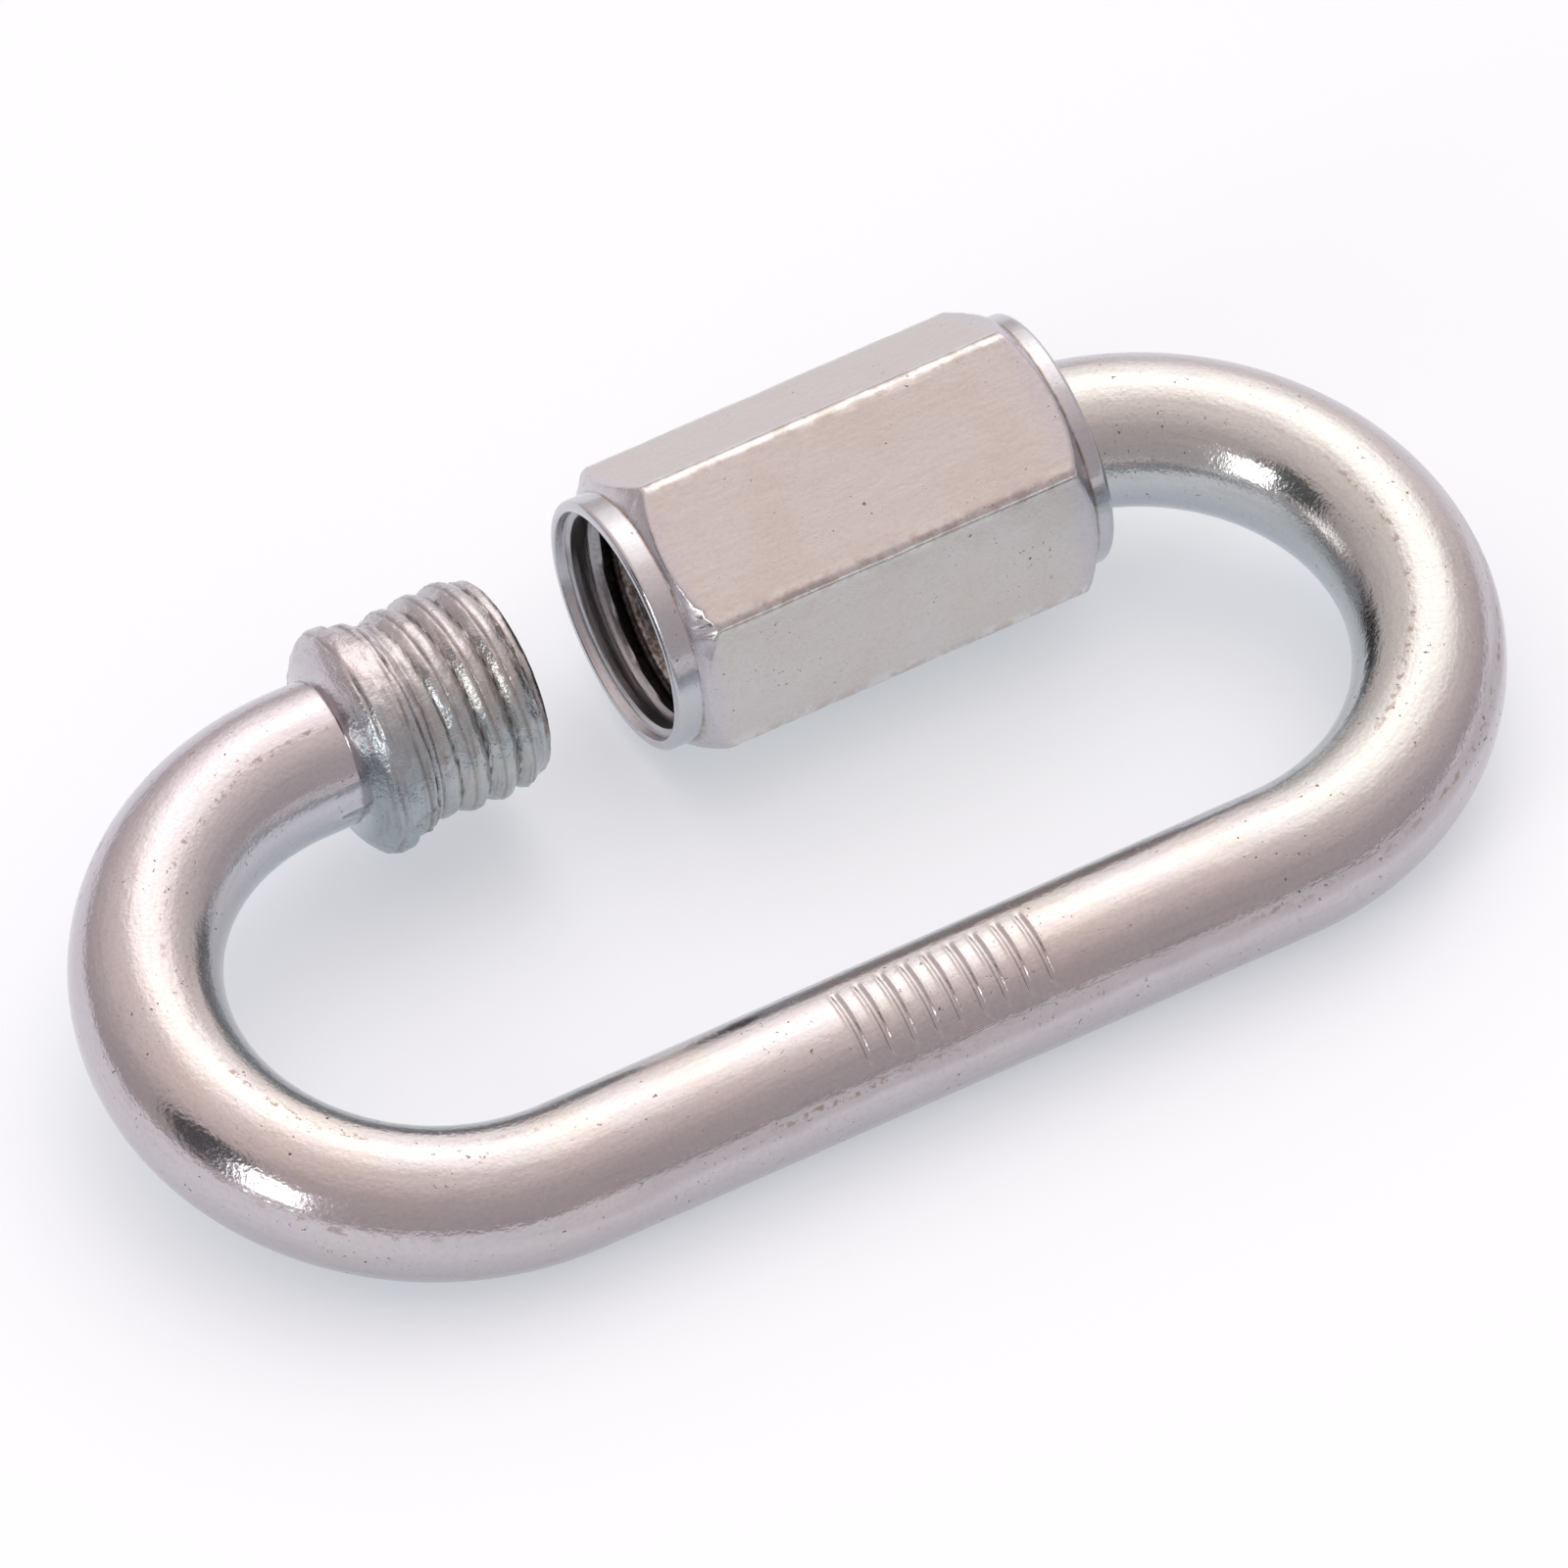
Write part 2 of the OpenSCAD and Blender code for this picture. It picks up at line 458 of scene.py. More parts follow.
def makeBar():
    rings, flows, zones, bends = [], [], [], []
    angles = [math.tau * j / bar["around"] for j in range(bar["around"])]
    travelled, before = 0.0, None
    for x, y, turn, radius in barStations():
        out = Vector((math.cos(turn), math.sin(turn), 0))
        centre = Vector((x, y, 0))
        if not radius:
            centre += out * bar["bendRadius"]
        travelled += (centre - before).length if before else 0.0
        before = centre
        bends.append([(softStep(*bar["bendFade"], abs(centre.x)), 0.0, 0.0)] * len(angles))
        ring, flow, zone = [], [], []
        for angle in angles:
            size = radius(x, angle) if radius else bar["radius"]
            zone.append(barZone(radius, x, angle, size))
            spot = Vector((travelled / bar["rippleStretch"],
                           size * math.cos(angle), size * math.sin(angle)))
            uneven = 0.5 + 0.5 * noise.noise(spot / bar["rippleLength"])
            size -= bar["skin"] + bar["ripple"] * uneven
            sideways, upward = size * math.cos(angle), size * math.sin(angle)
            ring.append(lying @ (centre + out * sideways + Vector((0, 0, upward))))
            flow.append((travelled, sideways, upward))
        rings.append(ring)
        flows.append(flow)
        zones.append(zone)
    # the two end faces, a little cupped
    for atStart in (True, False):
        end = 0 if atStart else -1
        ring, flow = rings[end], flows[end]
        middle = sum(ring, Vector()) / len(ring)
        outward = Vector((1, 0, 0)) if atStart else Vector((-1, 0, 0))
        for share, cup in barZones["endRings"]:
            at = 0 if atStart else len(rings)
            rings.insert(at, [middle + (p - middle) * share + outward * cup for p in ring])
            flows.insert(at, [(along, side * share, up * share) for along, side, up in flow])
            zones.insert(at, [barZones["endFace"]] * len(ring))
            bends.insert(at, [(0.0, 0.0, 0.0)] * len(ring))
    piece = gridMesh("bentBar", rings, {"flow": flows, "zone": zones, "bend": bends}, False)
    piece.data.set_sharp_from_angle(angle=math.radians(bar["sharpAngle"]))
    print("bar:", len(rings), "rings,", round(travelled, 2), "mm along")
    return piece


# hexagonal sleeve nut: sizes round its axis, places from its mouth
nut = {
    "flat": 5.475,
    "cornerRound": 0.5,
    "collar": 5.2,
    "crown": 9.78,         # radius of the crowned chamfers
    "mouthCollar": 1.27,
    "backCollar": 0.95,
    "rimRound": 0.22,
    "rimRings": 6,
    "bore": 4.47,
    "sinkDepth": 0.55,
    "sinkSection": (       # radius and depth from the bore over the countersink to the rim
        (4.47, 0.55), (4.53, 0.48), (4.7, 0.42), (4.74, 0.35), (4.76, 0.06), (4.78, 0.02),
        (4.81, 0.0), (4.92, 0.0),
    ),
    "crease": (            # past the collar, before the chamfer, and painted shade, where the two meet
        (0.0, 0.1, 0.0), (0.0, 0.04, 0.9), (0.004, 0.005, 1.0),
    ),
    "chamfer": ((0.1, 0.6), (0.3, 0.0), (0.6, 0.0)),   # shares of its width, and painted shade
    "groove": 0.34,
    "turn": 26.8,          # degrees of the upper flat from level
    "edge": 0.16,          # softened edge between chamfer and flat
    "edgeInward": 0.6,     # share of it on the chamfer
    "edgeRings": 6,
    "nick": 0.06,          # small knocks along the corners
    "nickLength": 0.8,
    "nickReach": 4.5,      # degrees
    "nickLevel": 0.15,
    "nickSeed": (7.3, 0.5),
    "ding": 0.09,          # and on the chamfers
    "dingLength": 0.4,
    "dingRise": 0.5,
    "knock": 0.2,          # a harder one on the mouth's chamfer, at one corner
    "knockTurn": 146.8,
    "knockReach": (16.0, 4.0),     # degrees
    "edgeSheen": (5.0, 1.0),    # degrees from a corner where the plate is painted lighter, a painted highlight
    "threadFade": (-0.1, 1.0),
    "dark": (1.0, 2.6),    # depths from the ends where the bore turns dark
    "threadStep": 0.09,
    "flatLevels": 40,      # rings along the flats
    "levelInset": 0.2,
    "flatStep": 2.5,       # degrees between columns on a flat
    "flatReach": 25.0,
    "cornerGap": 0.4,      # degrees between a corner's round and the next column
    "cornerColumns": 9,
    "sharpAngle": 38.0,
}


# middle of a corner's round, and the angle from the corner where it meets the flat
def cornerShape():
    centre = (nut["flat"] - nut["cornerRound"]) / math.cos(math.pi / 6)
    return centre, math.pi / 6 - math.atan(centre / 2 / nut["flat"])


def hexRadius(fromCorner):
    centre, tangent = cornerShape()
    if abs(fromCorner) < tangent:
        across = centre * math.sin(fromCorner)
        return centre * math.cos(fromCorner) + math.sqrt(nut["cornerRound"] ** 2 - across ** 2)
    return nut["flat"] / math.cos(math.pi / 6 - abs(fromCorner))


# angles from +Y towards +Z, with the distance from the nearest corner
def nutColumns():
    tangent = math.degrees(cornerShape()[1])
    count = nut["cornerColumns"]
    corner = [tangent * (2 * i / (count - 1) - 1) for i in range(count)]
    reach = 30 - tangent - nut["cornerGap"]
    half = int(nut["flatReach"] / nut["flatStep"])
    flat = [-reach] + [nut["flatStep"] * i for i in range(-half, half + 1)] + [reach]
    columns = []
    for side in range(6):
        normal = 90 + nut["turn"] + 60 * side
        columns += [(math.radians(normal + a), math.radians(30 - abs(a))) for a in flat]
        columns += [(math.radians(normal + 30 + a), math.radians(abs(a))) for a in corner]
    return columns


def crownDepth(radius, collarLength):
    across = math.sqrt(nut["crown"] ** 2 - nut["flat"] ** 2)
    return collarLength + across - math.sqrt(nut["crown"] ** 2 - radius ** 2)


# from the bore over one end to the flats, as radius, depth from that end and share of painted
# shade
def nutEnd(hexSize, angle, collarLength):
    collar, rim, edge = nut["collar"], nut["rimRound"], nut["edge"]
    around = Vector((math.cos(angle), math.sin(angle), collarLength))
    knock = nut["ding"]
    if collarLength == nut["mouthCollar"]:
        off = abs((math.degrees(angle) - nut["knockTurn"] + 180) % 360 - 180)
        knock += nut["knock"] * softStep(*nut["knockReach"], off)

    def chamferDepth(size):
        uneven = max(0.0, noise.noise(around * size / nut["dingLength"]))
        deeper = knock * uneven * softStep(collar, collar + nut["dingRise"], size)
        return crownDepth(size, collarLength) + deeper

    points = [(size, depth, 0.0) for size, depth in nut["sinkSection"]]
    for i in range(nut["rimRings"]):
        lift = math.pi / 2 * i / (nut["rimRings"] - 1)
        points.append((collar - rim + rim * math.sin(lift), rim - rim * math.cos(lift), 0.0))
    crease = crownDepth(collar, collarLength)
    points.append((collar, crease / 2, 0.0))
    points += [(collar + past, crease - before, paintedShade) for past, before, paintedShade in nut["crease"]]
    chamferEnd = hexSize - edge * nut["edgeInward"]
    for share, paintedShade in nut["chamfer"]:
        size = collar + share * (chamferEnd - collar)
        points.append((size, chamferDepth(size), paintedShade))
    # the edge follows a curve through three points
    start, bend = chamferDepth(chamferEnd), chamferDepth(hexSize)
    for i in range(nut["edgeRings"]):
        share = i / (nut["edgeRings"] - 1)
        rest = 1 - share
        size = chamferEnd * rest ** 2 + hexSize * (1 - rest ** 2)
        depth = start * rest ** 2 + bend * 2 * share * rest + (bend + edge) * share ** 2
        points.append((size, depth, 0.0))
    return points


# the corners lose a little where they were knocked
def nick(depth, angle, fromCorner):
    nearCorner = softStep(math.radians(nut["nickReach"]), 0.0, fromCorner)
    side = round((math.degrees(angle) - nut["turn"]) / 60)
    apart, level = nut["nickSeed"]
    knock = noise.noise(Vector((depth / nut["nickLength"], side * apart, level)))
    return nut["nick"] * max(0.0, knock - nut["nickLevel"]) * nearCorner


def makeNut():
    length = (nutHigh.x - nutLow.x) / mm
    mouth = nutLow.x / mm
    columns = nutColumns()
    lines, kinds = [], []      # for each column, its points and their zones
    levels, inset, sink = nut["flatLevels"], nut["levelInset"], nut["sinkDepth"]
    for angle, fromCorner in columns:
        size = hexRadius(fromCorner)
        front = nutEnd(size, angle, nut["mouthCollar"])
        back = nutEnd(size, angle, nut["backCollar"])[::-1]
        line = [(r, depth) for r, depth, paintedShade in front]
        kind = [(0.0, paintedShade, 0.0) for r, depth, paintedShade in front]
        sheenAndStain = softStep(*(math.radians(turn) for turn in nut["edgeSheen"]), fromCorner)
        first, last = front[-1][1], length - back[0][1]
        for i in range(levels):
            depth = first + (last - first) * (i + inset) / (levels - 1 + 2 * inset)
            line.append((size - nick(depth, angle, fromCorner), depth))
            kind.append((0.0, 0.0, sheenAndStain))
        line += [(r, length - depth) for r, depth, paintedShade in back]
        kind += [(0.0, paintedShade, 0.0) for r, depth, paintedShade in back]
        for depth in steps(length - sink, sink, nut["threadStep"])[1:]:
            fromEnd = min(depth, length - depth)
            fade = softStep(*nut["threadFade"], fromEnd - sink)
            groove = ridge(mouth + depth, angle - lean) * fade
            line.append((nut["bore"] + nut["groove"] * groove, depth))
            # in the bore the groove's depth is the share of painted shade
            kind.append((softStep(*nut["dark"], fromEnd), groove, 0.0))
        lines.append(line)
        kinds.append(kind)
    rings, flows, zones = [], [], []
    for level in range(len(lines[0])):
        ring, flow = [], []
        for (angle, fromCorner), line in zip(columns, lines):
            size, depth = line[level]
            sideways, upward = size * math.cos(angle), size * math.sin(angle)
            ring.append(Vector((mouth + depth, nutAxis.y + sideways, nutAxis.z + upward)))
            flow.append((depth, sideways, upward))
        rings.append(ring)
        flows.append(flow)
        zones.append([kind[level] for kind in kinds])
    piece = gridMesh("sleeveNut", rings, {"flow": flows, "zone": zones}, True)
    piece.data.set_sharp_from_angle(angle=math.radians(nut["sharpAngle"]))
    print("nut:", len(rings), "rings of", len(columns), "columns")
    return piece


def surface(tree, layer):
    return tree.node("ShaderNodeAttribute", {"attribute_name": layer}, {}, "Vector")


def split(vector, axis):
    return vector.node("ShaderNodeSeparateXYZ", {}, {0: vector}, axis)


# bright zinc plate over a drawn bar
barFinish = {
    "clean": rgb(0.57, 0.555, 0.56),
    "warm": rgb(0.58, 0.545, 0.525),
    "olive": rgb(0.55, 0.562, 0.538),
    "lilac": rgb(0.575, 0.545, 0.58),
    # painted reflection: darker violet for the bar's outer side
    "violetReflection": rgb(0.53, 0.495, 0.535),
    # painted reflection: bluish for the bar's inner side, towards the bottom
    "cool": rgb(0.50, 0.54, 0.59),
    "paintedShadeBlue": rgb(0.36, 0.42, 0.44),
    "thread": rgb(0.47, 0.465, 0.42),
    "threadCool": rgb(0.42, 0.475, 0.5),
    "groove": rgb(0.22, 0.2, 0.19),
    "pit": rgb(0.13, 0.105, 0.09),
    "stain": rgb(0.25, 0.17, 0.13),
    # painted shade for the broad line along the outer side
    "shade": rgb(0.34, 0.305, 0.3),
    "lilacEnd": (30.0, 12.0),      # millimetres along the bar from the stub's face
    "oliveStart": (45.0, 85.0),
    "shadeStart": (34.0, 50.0),
    "inner": (-0.2, -3.0),         # millimetres from the bar's axis towards its outer side
    "outer": (0.5, 2.2),
    "highlighted": (-2.6, -0.2),          # painted highlight: the thread is painted lighter from near its axis towards the outer side
    "under": (1.2, -1.2),          # and up from the axis
    "stainLines": (63.0, -14.0),   # degrees from the top of the bar towards its outer side
    "stainWidth": (0.03, 0.004),
    "shadeLine": 63.0,             # a broad soft line of painted shade along the outer side
    "shadeWidth": (0.4, 0.02),
    "wander": 0.9,                 # of all these lines
    "facing": (0.5, 1.5),
    "noises": {                    # scale, detail and roughness
        "cloud": (0.22, 3.0, 0.5),
        "patch": (0.45, 3.0, 0.6),
        "drawn": (4.0, 3.0, 0.6),
        "dents": (0.9, 3.0, 0.6),
        "rings": (5.0, 3.0, 0.6),
        "grain": (5.0, 3.0, 0.6),
        "peel": (6.0, 2.0, 0.5),
        "lumps": (1.8, 3.0, 0.5),
        "pits": (4.5, 2.0, 0.6),
        "pitGroups": (0.35, 3.0, 0.5),
        "breaks": (2.4, 3.0, 0.65),
        "breakGroups": (0.1, 2.0, 0.5),
    },
    "stretch": {"drawn": (0.05, 1.0, 1.0), "dents": (0.6, 1.0, 1.0), "rings": (1.0, 0.06, 0.06)},
    "levels": {                    # of the noises, where each takes hold
        "clean": (0.35, 0.6),
        "olive": (0.5, 0.7),
        "threadCool": (0.42, 0.6),
        "drawn": (0.5, 0.8),
        "grain": (0.6, 0.3),
        "rings": (0.52, 0.72),
        "pits": (0.66, 0.73),
        "pitGroups": (0.42, 0.62),
        "breaks": (0.5, 0.62),
        "breakGroups": (0.42, 0.58),
    },
    "shares": {"olive": 0.4, "threadCool": 0.7, "paintedShadeBlue": 0.7, "drawn": 0.11, "grain": 0.08,
               "rings": 0.5, "pits": 0.9, "stains": 0.6},
    "varies": {                    # least share of a tint, and what a noise adds to it
        "lilac": (0.4, 0.6),
        "olive": (0.6, 0.6),
        "violetReflection": (0.3, 0.7),
        "cool": (0.3, 0.7),
        "shade": (0.35, 0.35),
        "thread": (0.3, 0.6),
    },
    "highlightThread": 0.75,            # what the painted highlight takes off the thread's tint
    "highlightRings": 0.3,              # and off the dark rings
    "shadedSideEnd": 1.1,              # above 1 the painted shade on the bead's inner side goes on into the thread
    "roughness": {"plain": 0.17, "drawn": 0.1, "grain": 0.06, "pits": 0.3, "upset": 0.09,
                  "stains": 0.2},
    "relief": {"grain": 0.6, "drawn": 0.6, "dents": 3.0},
    "upsetRelief": {"lumps": 2.0, "grain": 3.0, "rings": 1.2},
    "pitDepth": 1.5,
    "bump": 0.35,
    "bumpDepth": 0.03,
}


# a line along the bar, used for the stains and for the painted shade line
def stainAndShadeLine(flow, degrees, wander, width):
    turn = math.radians(degrees)
    side, high = split(flow, "Y"), split(flow, "Z")
    sway = barFinish["wander"] * wander.centred()
    off = side * math.cos(turn) - high * math.sin(turn) + sway
    facing = side * math.sin(turn) + high * math.cos(turn)
    return (off * off).ramp(*width) * facing.ramp(*barFinish["facing"])


# plated metal from its colour, roughness and relief
def endPlate(tree, finish, colour, roughness, relief):
    bump = tree.node("ShaderNodeBump", {}, {
        "Strength": finish["bump"], "Distance": finish["bumpDepth"] * mm, "Height": relief})
    endMaterial(tree, tree.node("ShaderNodeBsdfPrincipled", {}, {
        "Base Color": colour, "Metallic": 1.0, "Roughness": roughness, "Normal": bump}))


# the noises of a finish over a piece's flow, by name
def plateNoises(flow, finish):
    made = {}
    for name, setup in finish["noises"].items():
        spread = finish["stretch"].get(name)
        place = flow.stretched(spread) if spread else flow
        made[name] = place.noise(*setup)
    return made


# noises added up, each times its weight
def blended(noises, weights):
    parts = [weight * noises[name] for name, weight in weights.items()]
    total = parts[0]
    for part in parts[1:]:
        total = total + part
    return total


def makeBarFinish():
    finish, levels, shares = barFinish, barFinish["levels"], barFinish["shares"]
    varies, rough = finish["varies"], finish["roughness"]
    material, tree = newMaterial("zincBar")
    flow, zone = surface(tree, "flow"), surface(tree, "zone")
    threaded, groove, upset = split(zone, "X"), split(zone, "Y"), split(zone, "Z")
    along, side = split(flow, "X"), split(flow, "Y")
    inner, outer = side.ramp(*finish["inner"]), side.ramp(*finish["outer"])
    highlighted, under = side.ramp(*finish["highlighted"]), split(flow, "Z").ramp(*finish["under"])
    bend = split(surface(tree, "bend"), "X")
    noises = plateNoises(flow, finish)
    cloud, patch, lumps = noises["cloud"], noises["patch"], noises["lumps"]
    drawn, grain, rings = noises["drawn"], noises["grain"], noises["rings"]
    pits = noises["pits"].ramp(*levels["pits"]) * noises["pitGroups"].ramp(*levels["pitGroups"])
    broken = (noises["breaks"].ramp(*levels["breaks"])
              * noises["breakGroups"].ramp(*levels["breakGroups"]))
    stains = 0.0
    for degrees in finish["stainLines"]:
        stains = stains + stainAndShadeLine(flow, degrees, cloud, finish["stainWidth"])
    stains = stains * broken * (1 - upset)
    # painted shade: a broad darker line along the bar's outer side, fading in along the bar
    shade = stainAndShadeLine(flow, finish["shadeLine"], cloud, finish["shadeWidth"]) * (1 - upset)
    shade = shade * along.ramp(*finish["shadeStart"])

    # tints of the plate
    colour = cloud.ramp(*levels["clean"]).mixed(finish["warm"], finish["clean"])
    colour = (patch.ramp(*levels["olive"]) * shares["olive"]).mixed(colour, finish["olive"])
    early, later = along.ramp(*finish["lilacEnd"]), along.ramp(*finish["oliveStart"])
    colour = (early * patch.varied(*varies["lilac"])).mixed(colour, finish["lilac"])
    bent = bend * later * (1 - outer) * patch.varied(*varies["olive"])
    colour = bent.mixed(colour, finish["olive"])
    # painted reflection: the outer side is painted a darker violet
    colour = (outer * patch.varied(*varies["violetReflection"])).mixed(colour, finish["violetReflection"])
    # painted reflection: bluish on the inner side, most towards the bottom
    colour = (inner * under.varied(*varies["cool"])).mixed(colour, finish["cool"])
    colour = (shade * patch.varied(*varies["shade"])).mixed(colour, finish["shade"])
    # the upset ends
    # painted highlight: the thread's dark tint and dark rings fade where the highlight band falls
    worked = threaded * (1 - finish["highlightThread"] * highlighted)
    cooled = worked * patch.ramp(*levels["threadCool"]) * shares["threadCool"]
    colour = (worked * lumps.varied(*varies["thread"])).mixed(colour, finish["thread"])
    colour = cooled.mixed(colour, finish["threadCool"])
    # painted shade: the upset metal is darker and bluish on the inner side
    shadedSide = upset * inner * (finish["shadedSideEnd"] - threaded) * shares["paintedShadeBlue"]
    colour = shadedSide.mixed(colour, finish["paintedShadeBlue"])
    # lines, grain, pits and stains
    lines = drawn.ramp(*levels["drawn"]) * (1 - upset) * shares["drawn"]
    colour = lines.mixed(colour, finish["pit"])
    colour = (grain.ramp(*levels["grain"]) * shares["grain"]).mixed(colour, finish["pit"])
    ringed = rings.ramp(*levels["rings"]) * upset
    ringed = ringed * (shares["rings"] - finish["highlightRings"] * highlighted)
    colour = ringed.mixed(colour, finish["groove"])
    colour = (pits * shares["pits"]).mixed(colour, finish["pit"])
    colour = (stains * shares["stains"]).mixed(colour, finish["stain"])
    colour = groove.mixed(colour, finish["groove"])

    roughness = rough["plain"] + rough["drawn"] * drawn.centred()
    roughness = roughness + rough["grain"] * grain.centred() + rough["pits"] * pits
    roughness = roughness + rough["upset"] * upset + rough["stains"] * stains
    relief = blended(noises, finish["relief"]) - finish["pitDepth"] * pits
    relief = relief + bend * noises["peel"] + upset * blended(noises, finish["upsetRelief"])
    endPlate(tree, finish, colour, roughness, relief)
    return material


# the same plate, duller on the hexagon and dark inside
nutFinish = {
    "clean": rgb(0.59, 0.57, 0.56),
    "shade": rgb(0.57, 0.54, 0.51),
    "roseReflection": rgb(0.558, 0.496, 0.473),
    "lilac": rgb(0.55, 0.535, 0.585),
    "cool": rgb(0.53, 0.55, 0.58),
    # painted highlight for the corners
    "edge": rgb(0.68, 0.67, 0.665),
    "stain": rgb(0.30, 0.22, 0.18),
    "pit": rgb(0.2, 0.165, 0.14),
    "bore": rgb(0.13, 0.10, 0.085),
    "boreDark": rgb(0.33, 0.315, 0.32),
    "blushSide": (0.2, 0.8),   # the flat with the painted rose reflection, from the nut's axis
    "blushHigh": (2.3, 3.1),
    "turned": (5.36, 5.22),    # radius where the flats end and the turned collars begin
    "bored": (4.8, 4.7),       # radius where the rim ends and the bore begins
    "ends": (2.2, 1.4),        # depths where the lilac of the ends begins and is full
    "noises": {                # scale, detail and roughness
        "cloud": (0.3, 3.0, 0.5),
        "patch": (1.1, 3.0, 0.6),
        "drawn": (4.0, 3.0, 0.5),
        "grain": (5.0, 3.0, 0.6),
        "rings": (4.0, 3.0, 0.6),
        "pits": (5.0, 2.0, 0.6),
        "pitGroups": (0.5, 3.0, 0.5),
        "breaks": (1.3, 3.0, 0.65),
    },
    "stretch": {"patch": (0.6, 1.0, 1.0), "drawn": (0.06, 1.0, 1.0), "rings": (1.0, 0.08, 0.08)},
    "levels": {                # of the noises, where each takes hold
        "cloud": (0.35, 0.65),
        "patch": (0.5, 0.75),
        "grain": (0.55, 0.3),
        "rings": (0.5, 0.64),
        "pits": (0.67, 0.74),
        "pitGroups": (0.45, 0.62),
        "breaks": (0.42, 0.6),
        "speckle": (0.42, 0.6),
    },
    "shares": {"cloud": 0.8, "patch": 0.3, "roseReflection": 0.85, "grain": 0.08, "edge": 0.9, "stain": 0.4},
    "varies": {                # least share of a tint, and what a noise or the painted shade adds to it
        "lilac": (0.4, 0.6),
        "cool": (0.5, 0.5),
        "stain": (0.4, 0.5),
        "dull": (0.25, 0.6),
        "inside": (0.8, 0.2),
    },
    "roughness": {"plain": 0.27, "drawn": 0.08, "patch": 0.08, "pits": 0.25, "bored": 0.12},
    "polish": {"corner": 0.1, "turned": 0.08},     # taken off the roughness
    "relief": {"grain": 0.5, "patch": 1.5, "drawn": 0.5},
    "boreRelief": 3.0,
    "pitDepth": 1.2,
    "bump": 0.35,
    "bumpDepth": 0.03,
}


def makeNutFinish():
    finish, levels, shares = nutFinish, nutFinish["levels"], nutFinish["shares"]
    varies, rough, polish = finish["varies"], finish["roughness"], finish["polish"]
    material, tree = newMaterial("zincNut")
    flow, zone = surface(tree, "flow"), surface(tree, "zone")
    inside, paintedShade, corner = split(zone, "X"), split(zone, "Y"), split(zone, "Z")
    across = flow.stretched((0.0, 1.0, 1.0))
    size = tree.node("ShaderNodeVectorMath", {"operation": "LENGTH"}, {0: across}, 1)
    turned, bored = size.ramp(*finish["turned"]), size.ramp(*finish["bored"])
    depth = split(flow, "X")
    toEnd = tree.maths("MINIMUM", depth, (nutHigh.x - nutLow.x) / mm - depth)
    roseFlat = (split(flow, "Y").ramp(*finish["blushSide"])
             * split(flow, "Z").ramp(*finish["blushHigh"]))
    noises = plateNoises(flow, finish)
    cloud, patch, drawn = noises["cloud"], noises["patch"], noises["drawn"]
    grain, rings = noises["grain"], noises["rings"]
    pits = noises["pits"].ramp(*levels["pits"]) * noises["pitGroups"].ramp(*levels["pitGroups"])
    broken = noises["breaks"].ramp(*levels["breaks"])

    # tints of the plate
    clouded = cloud.ramp(*levels["cloud"]) * shares["cloud"]
    colour = clouded.mixed(finish["clean"], finish["shade"])
    colour = (patch.ramp(*levels["patch"]) * shares["patch"]).mixed(colour, finish["shade"])
    # painted reflection: one upper flat is painted a darker rose
    colour = (roseFlat * shares["roseReflection"]).mixed(colour, finish["roseReflection"])
    atEnd = toEnd.ramp(*finish["ends"]) * patch.varied(*varies["lilac"])
    colour = atEnd.mixed(colour, finish["lilac"])
    colour = (turned * patch.varied(*varies["cool"])).mixed(colour, finish["cool"])
    # grain, worn corners, pits and dirt
    colour = (grain.ramp(*levels["grain"]) * shares["grain"]).mixed(colour, finish["pit"])
    # painted highlight: the corners are painted lighter
    colour = (corner * shares["edge"]).mixed(colour, finish["edge"])
    colour = (corner * broken * shares["stain"]).mixed(colour, finish["stain"])
    colour = pits.mixed(colour, finish["pit"])
    # painted shade: darker brown along the crease between collar and chamfer
    shadedCrease = paintedShade * (1 - bored) * broken.varied(*varies["stain"])
    colour = shadedCrease.mixed(colour, finish["stain"])
    # the bore
    dull = bored * rings.ramp(*levels["rings"]).varied(*varies["dull"])
    colour = dull.mixed(colour, finish["boreDark"])
    speckled = grain.ramp(*levels["speckle"]).mixed(finish["bore"], finish["boreDark"])
    # painted shade: the bore is darker in its thread's grooves
    colour = (inside * paintedShade.varied(*varies["inside"])).mixed(colour, speckled)

    roughness = rough["plain"] + rough["drawn"] * drawn.centred()
    roughness = roughness + rough["patch"] * patch.centred() + rough["pits"] * pits
    roughness = roughness - polish["corner"] * corner - polish["turned"] * turned
    roughness = roughness + rough["bored"] * bored
    relief = blended(noises, finish["relief"]) - finish["pitDepth"] * pits
    relief = relief + finish["boreRelief"] * bored * rings
    endPlate(tree, finish, colour, roughness, relief)
    return material


bentBar = makeBar()
bentBar.data.materials.append(makeBarFinish())
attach(bentBar, "link")
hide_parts("link_body")

sleeveNut = makeNut()
sleeveNut.data.materials.append(makeNutFinish())
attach(sleeveNut, "nut")
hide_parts("sleeve_nut")
print("pieces dressed")

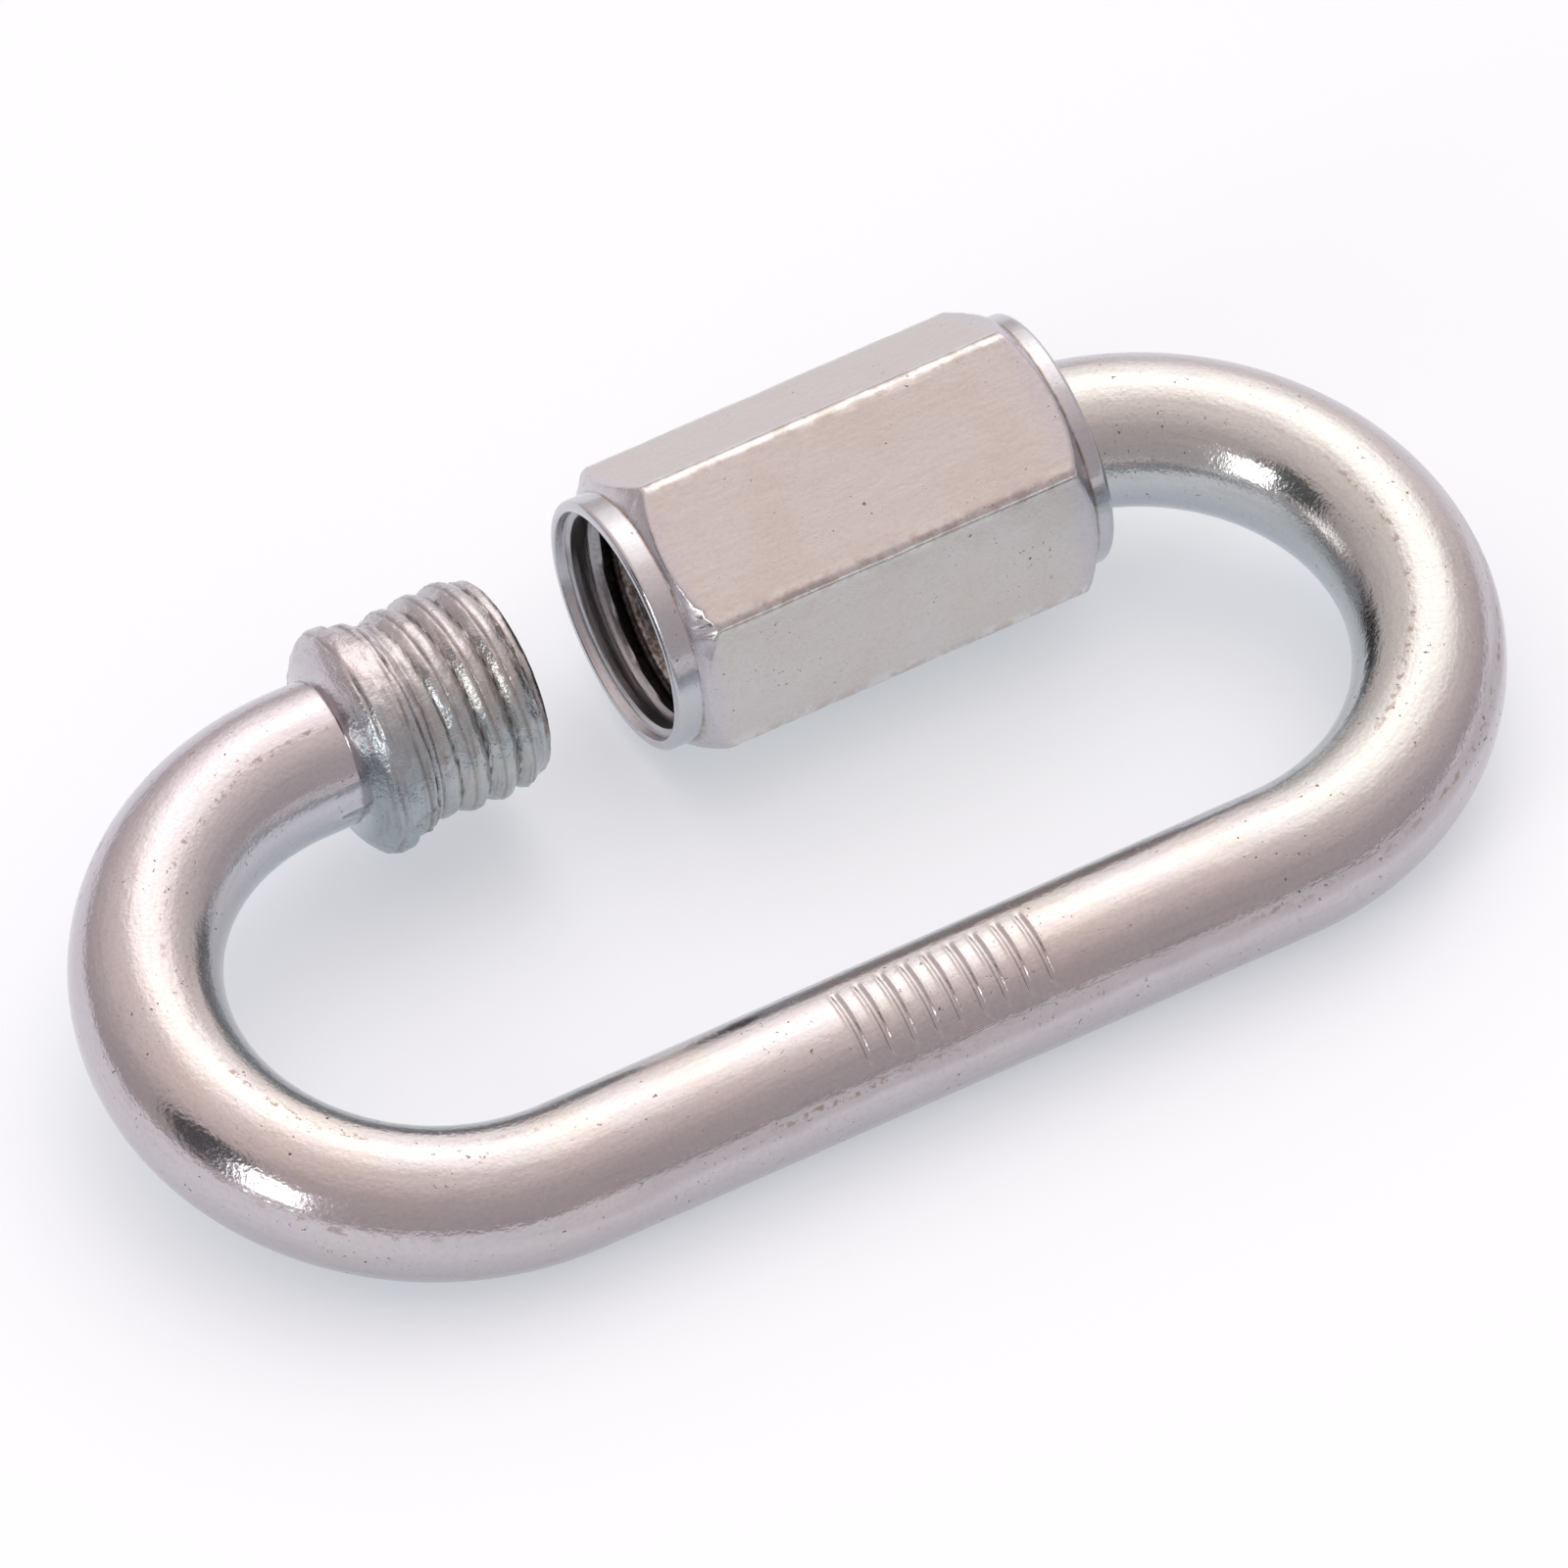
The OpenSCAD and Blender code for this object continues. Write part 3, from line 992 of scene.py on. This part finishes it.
# pale floor and soft lights; directions are degrees from +X towards +Y, and up from level
floor = {
    "size": 3000,
    "colour": rgb(0.693, 0.733, 0.768),
    "far": rgb(0.632, 0.658, 0.68),
    "middle": (10, 22, 0),
    "fade": (64, 240),     # from the pale middle to the far colour
    "glow": 0.45,          # added where the floor is seen, directly or in the metal
}
lights = {
    "sideWindow": {"turn": -161, "rise": 20, "distance": 600, "size": (150, 270), "watts": 0.58},
}
sky = {
    "stops": (
        (0.0, rgb(0.5, 0.47, 0.48)),
        (0.5, rgb(0.54, 0.48, 0.485)),
        (0.67, rgb(0.56, 0.495, 0.495)),
        (0.8, rgb(0.62, 0.535, 0.53)),
        (0.894, rgb(0.67, 0.57, 0.56)),
        (0.96, rgb(0.73, 0.62, 0.6)),
        (1.0, rgb(0.82, 0.7, 0.68)),
    ),
    # soft bright places: angles from their middle where they end and where they are full
    "bright": (
        {"turn": 42, "rise": 57, "reach": (32, 7), "colour": rgb(0.62, 0.62, 0.61)},
        {"turn": 60, "rise": 41, "reach": (32, 9), "colour": rgb(0.55, 0.55, 0.54)},
        {"turn": 56, "rise": 55, "reach": (80, 0), "colour": rgb(0.352, 0.306, 0.291)},
        {"turn": 44, "rise": 10, "reach": (30, 8), "colour": rgb(0.28, 0.27, 0.27)},
    ),
    "dark": {"turn": 180, "rise": 27, "half": (15, 19), "edge": (1.1, 0.85),
             "colour": rgb(0.08, 0.08, 0.085)},
}


def makeFloor():
    half = floor["size"] / 2 * mm
    mesh = bpy.data.meshes.new("floor")
    mesh.from_pydata([(-half, -half, 0), (half, -half, 0), (half, half, 0), (-half, half, 0)],
                     [], [(0, 1, 2, 3)])
    piece = bpy.data.objects.new("floor", mesh)
    bpy.context.scene.collection.objects.link(piece)
    material, tree = newMaterial("paleFloor")
    place = tree.node("ShaderNodeNewGeometry", {}, {}, "Position")
    middle = Vector(floor["middle"]) * mm
    away = tree.node("ShaderNodeVectorMath", {"operation": "DISTANCE"}, {0: place, 1: middle}, 1)
    near, far = floor["fade"]
    colour = away.ramp(near * mm, far * mm).mixed(floor["colour"], floor["far"])
    path = tree.node("ShaderNodeLightPath", {}, {}, "Is Camera Ray")
    rays = path.socket.node.outputs
    shown = path
    for name in ("Is Glossy Ray", "Is Transmission Ray"):
        shown = shown + Wire(path.tree, rays[name])
    paint = tree.node("ShaderNodeBsdfDiffuse", {}, {"Color": colour})
    glow = tree.node("ShaderNodeEmission", {}, {"Color": colour, "Strength": floor["glow"]})
    glowing = tree.node("ShaderNodeAddShader", {}, {0: paint, 1: glow})
    endMaterial(tree, tree.node("ShaderNodeMixShader", {}, {0: shown, 1: paint, 2: glowing}))
    mesh.materials.append(material)


def direction(turn, rise):
    turn, rise = math.radians(turn), math.radians(rise)
    level = math.cos(rise)
    return Vector((math.cos(turn) * level, math.sin(turn) * level, math.sin(rise)))


def makeLight(name, setup):
    lamp = bpy.data.lights.new(name, "AREA")
    lamp.shape = "RECTANGLE"
    lamp.size, lamp.size_y = (side * mm for side in setup["size"])
    lamp.energy = setup["watts"]
    towards = direction(setup["turn"], setup["rise"])
    light = bpy.data.objects.new(name, lamp)
    light.location = towards * setup["distance"] * mm
    light.rotation_euler = towards.to_track_quat("Z", "Y").to_euler()
    bpy.context.scene.collection.objects.link(light)


def makeSky():
    world = bpy.data.worlds.new("studio")
    world.use_nodes = True
    world.node_tree.nodes.clear()
    tree = Wire(world.node_tree)
    towards = tree.node("ShaderNodeTexCoord", {}, {}, "Generated")
    height = 0.5 + 0.5 * split(towards, "Z")
    colour = tree.node("ShaderNodeValToRGB", {"stops": sky["stops"]}, {0: height})
    for bright in sky["bright"]:
        middle = direction(bright["turn"], bright["rise"])
        facing = tree.node("ShaderNodeVectorMath", {"operation": "DOT_PRODUCT"},
                           {0: towards, 1: middle}, 1)
        share = facing.ramp(*(math.cos(math.radians(angle)) for angle in bright["reach"]))
        colour = tree.node("ShaderNodeMix", {"data_type": "RGBA", "blend_type": "ADD"},
                           {0: share, 6: colour, 7: bright["colour"]}, 2)
    dark = sky["dark"]
    middle = direction(dark["turn"], dark["rise"])
    wide, tall = (1 / math.sin(math.radians(half)) for half in dark["half"])
    off = tree.node("ShaderNodeVectorMath", {"operation": "SUBTRACT"}, {0: towards, 1: middle})
    off = off.stretched((tall, wide, tall))
    far = tree.node("ShaderNodeVectorMath", {"operation": "LENGTH"}, {0: off}, 1)
    colour = far.ramp(*dark["edge"]).mixed(colour, dark["colour"])
    light = tree.node("ShaderNodeBackground", {}, {"Color": colour})
    out = world.node_tree.nodes.new("ShaderNodeOutputWorld")
    world.node_tree.links.new(light.socket, out.inputs["Surface"])
    bpy.context.scene.world = world


makeFloor()
for name, setup in lights.items():
    makeLight(name, setup)
makeSky()
print("stage lit")

# long lens from above, turned a little round its own axis
camera = {
    "turn": -25.068,
    "rise": 46.106,
    "roll": -5.04,
    "target": (0.2524, -0.542, 5.4522),
    "distance": 1500.0,
    "view": 60.0,          # millimetres across the picture at the target
    "sensor": 36.0,
    "reach": 50.0,         # metres
}


def makeCamera():
    turn, rise, roll = (math.radians(camera[key]) for key in ("turn", "rise", "roll"))
    right = Vector((math.cos(turn), math.sin(turn), 0))
    level = math.cos(rise)
    back = Vector((math.sin(turn) * level, -math.cos(turn) * level, math.sin(rise)))
    up = back.cross(right)
    across = right * math.cos(roll) + up * math.sin(roll)
    upward = up * math.cos(roll) - right * math.sin(roll)
    lens = bpy.data.cameras.new("camera")
    lens.sensor_width = camera["sensor"]
    lens.lens = camera["sensor"] * camera["distance"] / camera["view"]
    lens.clip_end = camera["reach"]
    eye = bpy.data.objects.new("camera", lens)
    place = (Vector(camera["target"]) + back * camera["distance"]) * mm
    axes = Matrix((across, upward, back)).transposed().to_4x4()
    eye.matrix_world = Matrix.Translation(place) @ axes
    bpy.context.scene.collection.objects.link(eye)
    bpy.context.scene.camera = eye


makeCamera()
bpy.context.scene.view_settings.view_transform = "Standard"
